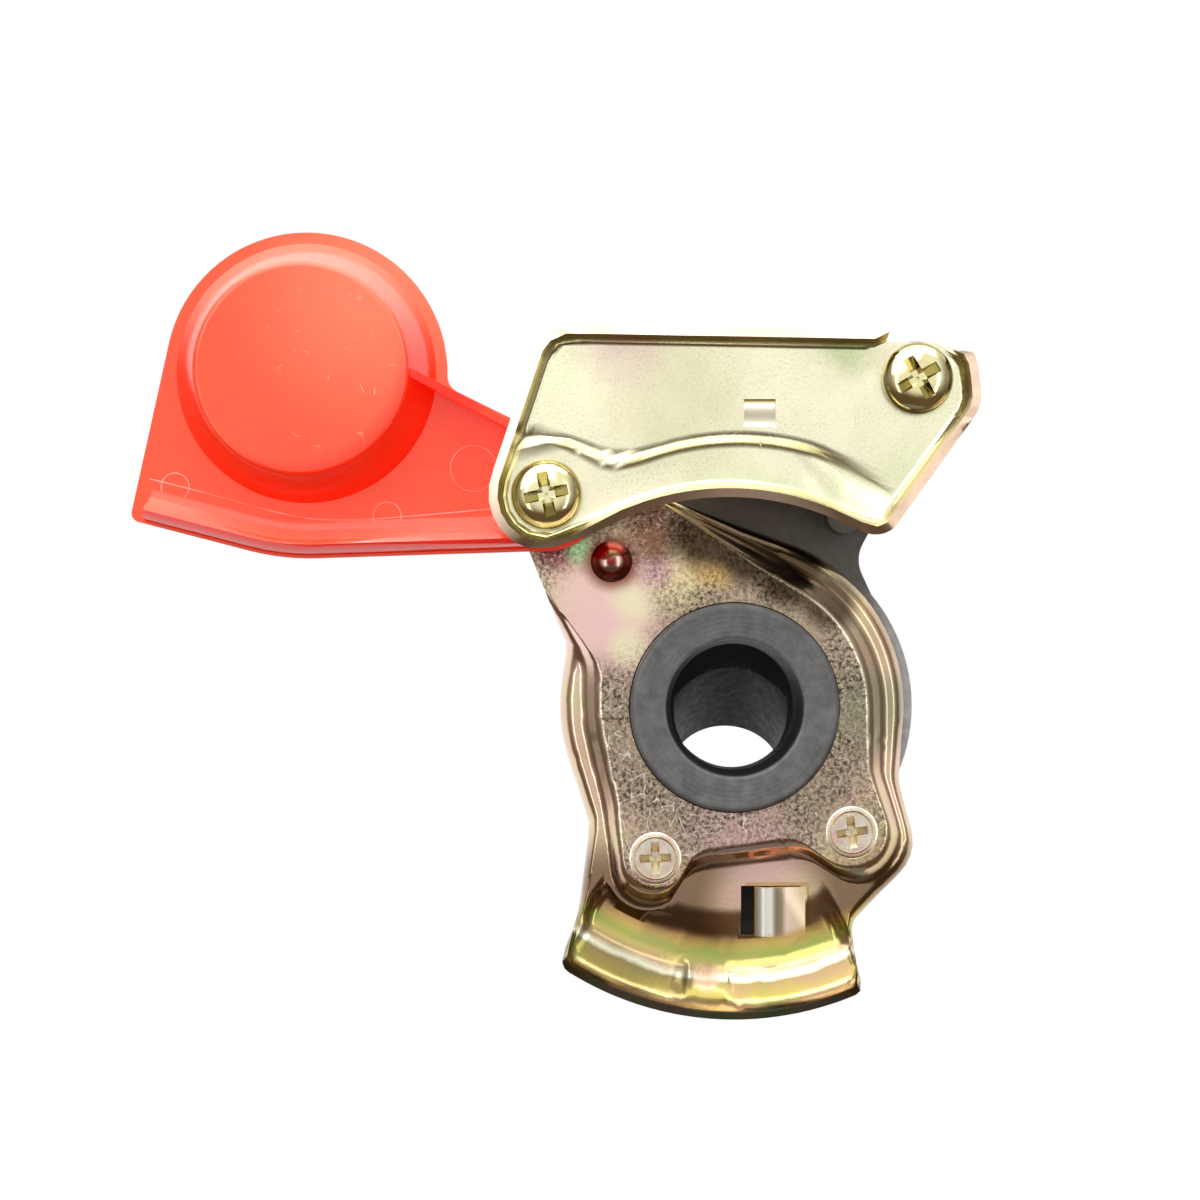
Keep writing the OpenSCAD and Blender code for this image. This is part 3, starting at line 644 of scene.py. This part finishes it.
def tab_tones(material, ledge):
    """Gold edge round the lower window, and the painted highlights and painted shade of the curved tab in it.
    """
    share = product(material, maths(material, "SUBTRACT", part_of(material, "X"), TAB_START * MM),
                    1 / (TAB_WIDTH * MM))
    # Painted highlights and painted shade across the curved tab, from its free end on
    painted_tab_light = ramp(material, share,
                 (0.0, (0.56, 0.38, 0.16)), (0.10, (0.52, 0.51, 0.47)), (0.24, (0.88, 0.87, 0.82)),
                 (0.42, (0.26, 0.22, 0.14)), (0.52, (0.34, 0.27, 0.17)), (0.62, (0.86, 0.70, 0.56)),
                 (1.0, (0.80, 0.64, 0.40)))
    edge = product(material, oblong(material, *WINDOW), 0.8)
    edged = blend(material, edge, ledge, (0.66, 0.42, 0.18))
    return blend(material, oblong(material, *TAB, soft=0.2), edged, painted_tab_light)


def face_zinc(colours):
    """Rose and bronze passivated zinc of the face plate, with patches, grain and scratches, painted shade on
    the ledge, a painted highlight along the crest and painted glints.
    """
    material, shader = new_finish("face_zinc", Metallic=1.0)
    away, depth, up = from_axis(material), part_of(material, "Y"), part_of(material, "Z")
    lip = product(material, between(material, up, -31, -39), between(material, away, 39.5, 41.5))
    # Painted shade on the ledge below the lobes, kept off the lower window
    shaded = product(material, between(material, depth, 3.4, 5.0), between(material, up, -20, -29),
                     inverse(material, near(material, (6, -35), 6, 13)))
    tone = blend(material, shaded, face_patches(material, colours), (0.33, 0.215, 0.135))
    tone = tab_tones(material, tone)
    # Painted highlight along the crest of the plateau, where it starts to turn away
    painted_crest_light = product(material, between(material, depth, 3.6, 2.9),
                    maths(material, "SUBTRACT", facing(material, 0.86, 0.93), facing(material, 0.965, 0.995)))
    tone = blend(material, product(material, painted_crest_light, 0.45), tone, (0.96, 0.86, 0.68))
    tone = blend(material, lip, tone, lip_bands(material, away))
    plateau = product(material, between(material, depth, 3.2, 2.6), facing(material, 0.90, 0.985))
    smooth = maths(material, "MAXIMUM", lip, near(material, (-23, 17), 6, 13))
    cloudy = ramp(material, noise(material, 110, 3), (0.36, 0.45), (0.56, 1.0))
    pitted = product(material, plateau, cloudy, inverse(material, smooth))
    pits = blend(material, 1.0, speckle(material, 0.75, 0.40, 0.55, 0.16),
                 speckle(material, 0.36, 0.36, 0.54, 0.45), "MULTIPLY")
    tone = blend(material, pitted, tone, blend(material, 1.0, tone, pits, "MULTIPLY"))
    # Painted glints on the pitted plateau, kept off the painted shade under the arm
    off_painted_shade = inverse(material, near(material, (5, 27), 12, 22))
    painted_glints = ramp(material, noise(material, 1500, 3, 0.6), (0.58, 0.0), (0.66, 1.0))
    tone = blend(material, product(material, pitted, off_painted_shade, painted_glints, 0.5), tone, (0.96, 0.88, 0.78))
    scuffs = product(material, scratches(material, 3.4, 0.034, 0.48), plateau,
                     near(material, (-12, -14), 10, 24))
    tone = blend(material, scuffs, tone, (0.97, 0.94, 0.88))
    worn = maths(material, "MULTIPLY_ADD", pitted, 0.05, wander(material, 140, 4, 0.13, 0.22))
    dress(material, shader, tone, maths(material, "MULTIPLY_ADD", oblong(material, *TAB), 0.2, worn))
    bump(material, shader, noise(material, 1600, 4), 0.014)
    return material


def screw_zinc():
    """Bright zinc of the pan-head screws and the sleeve, with painted shade where the surface turns away from
    the front.
    """
    material, shader = new_finish("screw_zinc", Metallic=1.0)
    tone = ramp(material, noise(material, 260, 3),
                (0.35, (0.93, 0.89, 0.56)), (0.55, (0.90, 0.82, 0.42)), (0.72, (0.86, 0.70, 0.48)))
    # Painted shade where the surface turns away from the front
    dress(material, shader, blend(material, facing(material, 0.40, 0.88), (0.40, 0.34, 0.15), tone),
          wander(material, 500, 3, 0.08, 0.16))
    bump(material, shader, noise(material, 1800, 2), 0.01)
    return material


def face_screw_zinc():
    """Paler zinc of the two flat heads, with rose patches and a darker recess."""
    material, shader = new_finish("face_screw_zinc", Metallic=1.0)
    tone = ramp(material, noise(material, 420, 3),
                (0.36, (0.88, 0.82, 0.70)), (0.52, (0.86, 0.74, 0.58)), (0.66, (0.84, 0.60, 0.56)))
    tone = blend(material, 1.0, tone, speckle(material, 0.3, 0.3, 0.5, 0.7), "MULTIPLY")
    sunk = between(material, part_of(material, "Y"), 2.28, 2.7)
    dress(material, shader, blend(material, sunk, tone, (0.74, 0.64, 0.44)),
          wander(material, 500, 3, 0.2, 0.32))
    bump(material, shader, noise(material, 1500, 2), 0.012)
    return material


def cast_metal(colours):
    """Sand-cast grey metal of the body, with painted shade round the arm under the guide, in the bore and on
    the lug behind the lower window.
    """
    material, shader = new_finish("cast_metal", Metallic=0.55)
    tone = ramp(material, noise(material, 220, 5, 0.65),
                (0.3, shade(colours.casting, 0.75)), (0.7, shade(colours.casting, 1.25)))
    # Painted shade round the arm, under the guide
    tone = blend(material, near(material, (4, 36), 22, 36), tone, (0.125, 0.112, 0.102))
    # Painted shade in the chamber and the hose port, and on the lug behind the lower window
    chamber = product(material, between(material, from_axis(material), 11.9, 11.4),
                      between(material, part_of(material, "Y"), 22.5, 20.5))
    port = between(material, from_port(material), 10.7, 10.3)
    behind = product(material, near(material, (6, -36), 6, 9), facing(material, 0.0, 0.5))
    dark = maths(material, "MAXIMUM", maths(material, "MAXIMUM", chamber, port), behind)
    dress(material, shader, blend(material, dark, tone, (0.030, 0.031, 0.033)),
          wander(material, 700, 3, 0.45, 0.62))
    bump(material, shader, noise(material, 1100, 5, 0.7), 0.09)
    return material


def seal_rubber(colours):
    """Black rubber with faint moulding rings and dusty scuffs, and painted shade in its bore."""
    material, shader = new_finish("seal_rubber_finish", Specular_IOR_Level=0.4)
    dust = ramp(material, noise(material, 330, 5, 0.7),
                (0.35, tuple(colours.rubber)), (0.75, shade(colours.rubber, 2.0)))
    # Painted shade on the rubber deeper than the seal's face, in the bore
    inside = between(material, part_of(material, "Y"), 0.3, 1.6)
    dress(material, shader, blend(material, inside, dust, (0.017, 0.018, 0.019)),
          wander(material, 260, 3, 0.32, 0.46))
    rings = maths(material, "SINE", product(material, from_axis(material), 2 * math.pi / (RING_PITCH * MM)))
    bump(material, shader, maths(material, "MULTIPLY_ADD", rings, 0.35, noise(material, 1800, 3)), 0.02)
    return material


def cover_plastic(colours):
    """Glossy red moulded plastic with a few pale scuffs on the dome, a painted glow, painted shade on the
    dome's shoulder and painted light and shade on its walls.
    """
    # The emission is a painted glow that stands for light through the plastic
    material, shader = new_finish(
        "cover_plastic", Specular_IOR_Level=0.65, Subsurface_Weight=0.6, Subsurface_Radius=(1.0, 0.12, 0.05),
        Subsurface_Scale=6 * MM, Emission_Color=(1.0, 0.02, 0.004), Emission_Strength=COVER_GLOW)
    tone = ramp(material, noise(material, 70, 3),
                (0.3, shade(colours.cover_red, 0.95)), (0.7, tuple(colours.cover_red)))
    tone = blend(material, near(material, (-62, 70), 2, 28), tone, (1.0, 0.20, 0.10))
    # Painted shade: deeper red on the dome's shoulder
    painted_shade_crescent = product(material, between(material, part_of(material, "Y"), -8, -10),
                       inverse(material, near(material, COVER_DOME, 17.5, 22)))
    tone = blend(material, painted_shade_crescent, tone, (1.0, 0.018, 0.002))
    # Painted light and shade on the side walls: paler where they face up, deeper red where they face down
    painted_wall_light = blend(material, facing(material, -0.1, 0.75, "Z", 1.0), (1.0, 0.030, 0.008), (1.0, 0.24, 0.16))
    tone = blend(material, facing(material, 0.5, 0.92), painted_wall_light, tone)
    scuffs = product(material, scratches(material, 5.5, 0.012, 0.60), near(material, (-70, 58), 8, 17),
                     facing(material, 0.5, 0.9))
    dress(material, shader, blend(material, scuffs, tone, (1.0, 0.55, 0.45)),
          wander(material, 240, 4, 0.09, 0.16))
    bump(material, shader, noise(material, 300, 2), 0.003)
    return material


def witness_line(colours):
    """Paler red of the parting line and the pin marks, where the mould left a thin witness."""
    material, shader = new_finish("witness_line", Roughness=0.3)
    red = colours.cover_red[0]
    put(material, shader.inputs["Base Color"],
        ramp(material, noise(material, 300, 3), (0.35, (red, 0.20, 0.13)), (0.65, (red, 0.42, 0.32))))
    return material


class COUPLER_OT_body(bpy.types.Operator):
    """Builds the cast body with softened edges"""
    bl_idname = "coupler.body"
    bl_label = "Cast body"

    def execute(self, context):
        piece = node_copy("body", "cast_body", 0.6)
        soften(piece, context.scene.coupler_sizes.cast_edge)
        paint(piece, cast_metal(context.scene.coupler_colours))
        finish_piece(piece, "cast_body", "coupling_head", "body")
        return {"FINISHED"}


class COUPLER_OT_sheets(bpy.types.Operator):
    """Builds the two pressed sheets: the face plate and the guide"""
    bl_idname = "coupler.sheets"
    bl_label = "Pressed sheets"

    def execute(self, context):
        colours = context.scene.coupler_colours
        face = node_copy("front_plate", "face_plate")
        paint(face, face_zinc(colours))
        finish_piece(face, "zinc_front", "coupling_head", "front_plate", smooth=40)
        guide = node_copy("guide_plate", "guide_sheet")
        round_corners(guide, GUIDE_CORNERS)
        paint(guide, guide_zinc(colours))
        finish_piece(guide, "zinc_guide", "coupling_head", "guide_plate", smooth=40)
        return {"FINISHED"}


class COUPLER_OT_seal(bpy.types.Operator):
    """Turns the rubber seal with rounded edges"""
    bl_idname = "coupler.seal"
    bl_label = "Rubber seal"

    def execute(self, context):
        sizes = context.scene.coupler_sizes
        outer, bore = sizes.seal_radius / MM, sizes.seal_bore / MM
        flange = outer + FLANGE_REACH
        piece = turned("rubber_seal", (0, 0), [
            [bore, -0.45], [bore + 0.12, -0.16], [bore + 0.4, -0.02], [bore + 0.8, 0],
            [outer - 0.95, 0], [outer - 0.6, -0.06], [outer - 0.2, -0.4], [outer - 0.02, -0.85],
            [outer, -1.2], [outer, FLANGE_FRONT], [flange, FLANGE_FRONT], [flange, SEAL_BACK],
            [THROAT_RADIUS, SEAL_BACK], [THROAT_RADIUS, THROAT_FRONT],
            [bore - 0.4, FLANGE_FRONT], [bore - 0.1, -1.6]],
            closed=True)
        paint(piece, seal_rubber(context.scene.coupler_colours))
        finish_piece(piece, "seal_rubber", "coupling_head", "seal_ring")
        return {"FINISHED"}


class COUPLER_OT_cover(bpy.types.Operator):
    """Builds the moulded cover, with its parting line and the marks of three ejector pins"""
    bl_idname = "coupler.cover"
    bl_label = "Cover"

    def parting_line(self):
        """Thin bead that follows the lower edge on the front of the cover."""
        only(None)
        data = bpy.data.curves.new("parting_line", "CURVE")
        data.dimensions = "3D"
        data.bevel_depth, data.bevel_resolution = LINE_RADIUS * MM, 1
        path = data.splines.new("NURBS")
        path.points.add(len(PARTING_LINE) - 1)
        for point, (x, z) in zip(path.points, PARTING_LINE):
            point.co = (x * MM, -LINE_HEIGHT * MM, z * MM, 1)
        path.use_endpoint_u = True
        path.order_u = 3
        line = bpy.data.objects.new("parting_line", data)
        bpy.context.scene.collection.objects.link(line)
        only(line)
        bpy.ops.object.convert(target="MESH")
        return bpy.context.object

    def pin_mark(self, at, radius):
        """Ring that an ejector pin leaves."""
        only(None)
        bpy.ops.mesh.primitive_torus_add(
            major_radius=radius * MM, minor_radius=MARK_RADIUS * MM, major_segments=64, minor_segments=8,
            location=(at[0] * MM, -MARK_HEIGHT * MM, at[1] * MM), rotation=TO_FRONT)
        bpy.ops.object.transform_apply(location=True, rotation=True, scale=True)
        return bpy.context.object

    def execute(self, context):
        colours = context.scene.coupler_colours
        piece = node_copy("cover_flap", "cover_moulding")
        soften(piece, context.scene.coupler_sizes.cover_edge)
        paint(piece, cover_plastic(colours))
        details = [self.parting_line()] + [self.pin_mark(at, radius) for at, radius in PIN_MARKS]
        witness = witness_line(colours)
        only(piece)
        for detail in details:
            paint(detail, witness)
            detail.select_set(True)
        bpy.ops.object.join()
        finish_piece(piece, "red_plastic", "cover", "cover_flap")
        return {"FINISHED"}


class COUPLER_OT_screws(bpy.types.Operator):
    """Turns the pivot sleeve and the four screws, with cross recesses"""
    bl_idname = "coupler.screws"
    bl_label = "Sleeve and screws"

    def pan_screw(self, name, at, seat, tip, turn, r, h):
        """Screw with a domed head of a radius and a height on its seat."""
        arc = [math.radians(9 * k) for k in range(1, 11)]
        dome = [[r - DOME_RADIUS + DOME_RADIUS * math.cos(a), seat + h * (0.3 + 0.7 * math.sin(a))]
                for a in arc]
        piece = turned(name, at, [
            [2, tip], [3, tip + 1], [3, seat], [r - 0.25, seat], [r, seat + 0.25], [r, seat + h * 0.3], *dome,
            [1, seat + h]])
        cut_recess(piece, at, seat + h, h * 0.68, r * 0.66, r * 0.32, turn)
        return piece

    def face_screw(self, at, turn, r):
        """Countersunk screw with a ring groove in its flat head."""
        piece = turned("face_screw", at, [
            [1.6, -18], [2.5, -17.2], [2.5, -4.3], [r, HEAD_TOP - 0.26], [r - 0.05, HEAD_TOP - 0.08],
            [r - 0.2, HEAD_TOP], [r - 0.75, HEAD_TOP], [r - 0.95, HEAD_TOP - 0.3], [r - 1.15, HEAD_TOP],
            [1, HEAD_TOP]])
        cut_recess(piece, at, HEAD_TOP, 1.7, r * 0.6, r * 0.3, turn)
        return piece

    def sleeve(self):
        """Bush round the pivot screw, with both ends chamfered."""
        bore, outer, back, front = SLEEVE
        edge = outer - SLEEVE_CHAMFER
        return turned("pivot_bush", PIVOT, [
            [bore, back], [edge, back], [outer, back + SLEEVE_CHAMFER], [outer, front - SLEEVE_CHAMFER],
            [edge, front], [bore, front]], closed=True)

    def execute(self, context):
        sizes = context.scene.coupler_sizes
        finish = screw_zinc()
        for name, node, at, seat, tip, turn in PAN_SCREWS:
            piece = self.pan_screw(name, at, seat, tip, turn, sizes.pan_radius / MM, sizes.pan_height / MM)
            paint(piece, finish)
            finish_piece(piece, "zinc_screws", "coupling_head", node)
        heads = [self.face_screw(at, turn, sizes.face_radius / MM) for at, turn in FACE_SCREWS]
        only(heads[0])
        heads[1].select_set(True)
        bpy.ops.object.join()
        paint(heads[0], face_screw_zinc())
        finish_piece(heads[0], "zinc_screws", "coupling_head", "face_screws")
        sleeve = self.sleeve()
        paint(sleeve, finish)
        finish_piece(sleeve, "zinc_screws", "coupling_head", "pivot_sleeve")
        return {"FINISHED"}


class COUPLER_OT_stage(bpy.types.Operator):
    """Sets up the camera, the lights, the white surround and a small floor"""
    bl_idname = "coupler.stage"
    bl_label = "Stage"

    def camera(self, scene, lens):
        """Level camera, square to the face."""
        data = bpy.data.cameras.new("photo_camera")
        data.lens, data.sensor_width = lens, SENSOR_WIDTH
        camera = bpy.data.objects.new("photo_camera", data)
        scene.collection.objects.link(camera)
        camera.location = CAMERA_AT
        camera.rotation_euler = TO_FRONT
        scene.camera = camera

    def lamp(self, name, power, size, at):
        """Softbox that points at the coupler."""
        data = bpy.data.lights.new(name, "AREA")
        data.shape = "RECTANGLE"
        data.size, data.size_y = size
        data.energy = power
        lamp = bpy.data.objects.new(name, data)
        bpy.context.scene.collection.objects.link(lamp)
        lamp.location = at
        away = lamp.location - mathutils.Vector(LAMP_TARGET)
        lamp.rotation_euler = away.to_track_quat("Z", "Y").to_euler()

    def surround(self, scene, stage):
        """World that lights with a darker side below, and shows white to the camera and in mirrors."""
        world = bpy.data.worlds.new("white_surround")
        scene.world = world
        world.use_nodes = True
        world.node_tree.nodes.clear()
        ray = add(world, "ShaderNodeTexCoord", "Generated")
        across, back, height = add(world, "ShaderNodeSeparateXYZ", Vector=ray).node.outputs
        up = rise(world, height, -0.5, 0.12)
        front = rise(world, back, -1.0, -0.5, stage.front_dim, 1.0)
        side = rise(world, maths(world, "ABSOLUTE", across), 0.55, 0.95, 1.0, 0.2)
        tone = blend(world, product(world, up, front, side, stage.surround), stage.below, WHITE)
        path = world.node_tree.nodes.new("ShaderNodeLightPath").outputs
        behind = add(world, "ShaderNodeMapRange", Value=back, From_Min=0.0, From_Max=0.3)
        mirrored = product(world, path["Is Glossy Ray"], behind)
        seen = maths(world, "MAXIMUM", path["Is Camera Ray"],
                     maths(world, "MAXIMUM", path["Is Transmission Ray"], mirrored))
        light = add(world, "ShaderNodeBackground", Color=blend(world, seen, tone, WHITE), Strength=1.0)
        output = world.node_tree.nodes.new("ShaderNodeOutputWorld")
        put(world, output.inputs["Surface"], light)

    def floor(self):
        """Small dark floor below the coupler."""
        only(None)
        bpy.ops.mesh.primitive_circle_add(
            vertices=96, radius=FLOOR_RADIUS, fill_type="NGON", location=FLOOR_AT)
        floor = bpy.context.object
        floor.name = "studio_floor"
        bpy.ops.object.transform_apply(location=True, rotation=True, scale=True)
        bpy.ops.object.mode_set(mode="EDIT")
        bpy.ops.mesh.inset(thickness=FLOOR_EDGE)
        bpy.ops.object.mode_set(mode="OBJECT")
        material, shader = new_finish("floor_paint", Roughness=0.7)
        put(material, shader.inputs["Base Color"], wander(material, 60, 3, 0.10, 0.14))
        floor.data.materials.append(material)

    def execute(self, context):
        scene, stage = context.scene, context.scene.coupler_stage
        scene.view_settings.view_transform = "Standard"
        self.camera(scene, stage.lens)
        for name, power, size, at in LAMPS:
            self.lamp(name, getattr(stage, power), size, at)
        self.surround(scene, stage)
        self.floor()
        return {"FINISHED"}


PIECES = ("body", "sheets", "seal", "cover", "screws")


class COUPLER_PT_panel(bpy.types.Panel):
    """Lists the coupler's operators, sizes, colours and stage settings."""
    bl_idname = "COUPLER_PT_panel"
    bl_label = "Gladhand coupler"
    bl_space_type = "VIEW_3D"
    bl_region_type = "UI"
    bl_category = "Coupler"

    def draw(self, context):
        scene = context.scene
        for piece in (*PIECES, "stage"):
            self.layout.operator("coupler." + piece)
        for group in (scene.coupler_sizes, scene.coupler_colours, scene.coupler_stage):
            for key in group.__annotations__:
                self.layout.prop(group, key)


CLASSES = (CouplerSizes, CouplerColours, StageSettings, COUPLER_OT_body, COUPLER_OT_sheets, COUPLER_OT_seal,
           COUPLER_OT_cover, COUPLER_OT_screws, COUPLER_OT_stage, COUPLER_PT_panel)


def register():
    """Registers the classes and hangs the settings on the scene."""
    for entry in CLASSES:
        bpy.utils.register_class(entry)
    bpy.types.Scene.coupler_sizes = bpy.props.PointerProperty(type=CouplerSizes)
    bpy.types.Scene.coupler_colours = bpy.props.PointerProperty(type=CouplerColours)
    bpy.types.Scene.coupler_stage = bpy.props.PointerProperty(type=StageSettings)


def unregister():
    """Takes the settings and the classes away again."""
    del bpy.types.Scene.coupler_sizes, bpy.types.Scene.coupler_colours, bpy.types.Scene.coupler_stage
    for entry in reversed(CLASSES):
        bpy.utils.unregister_class(entry)


def main():
    register()
    for piece in PIECES:
        getattr(bpy.ops.coupler, piece)()
    bpy.ops.coupler.stage()


if __name__ == "__main__":
    main()
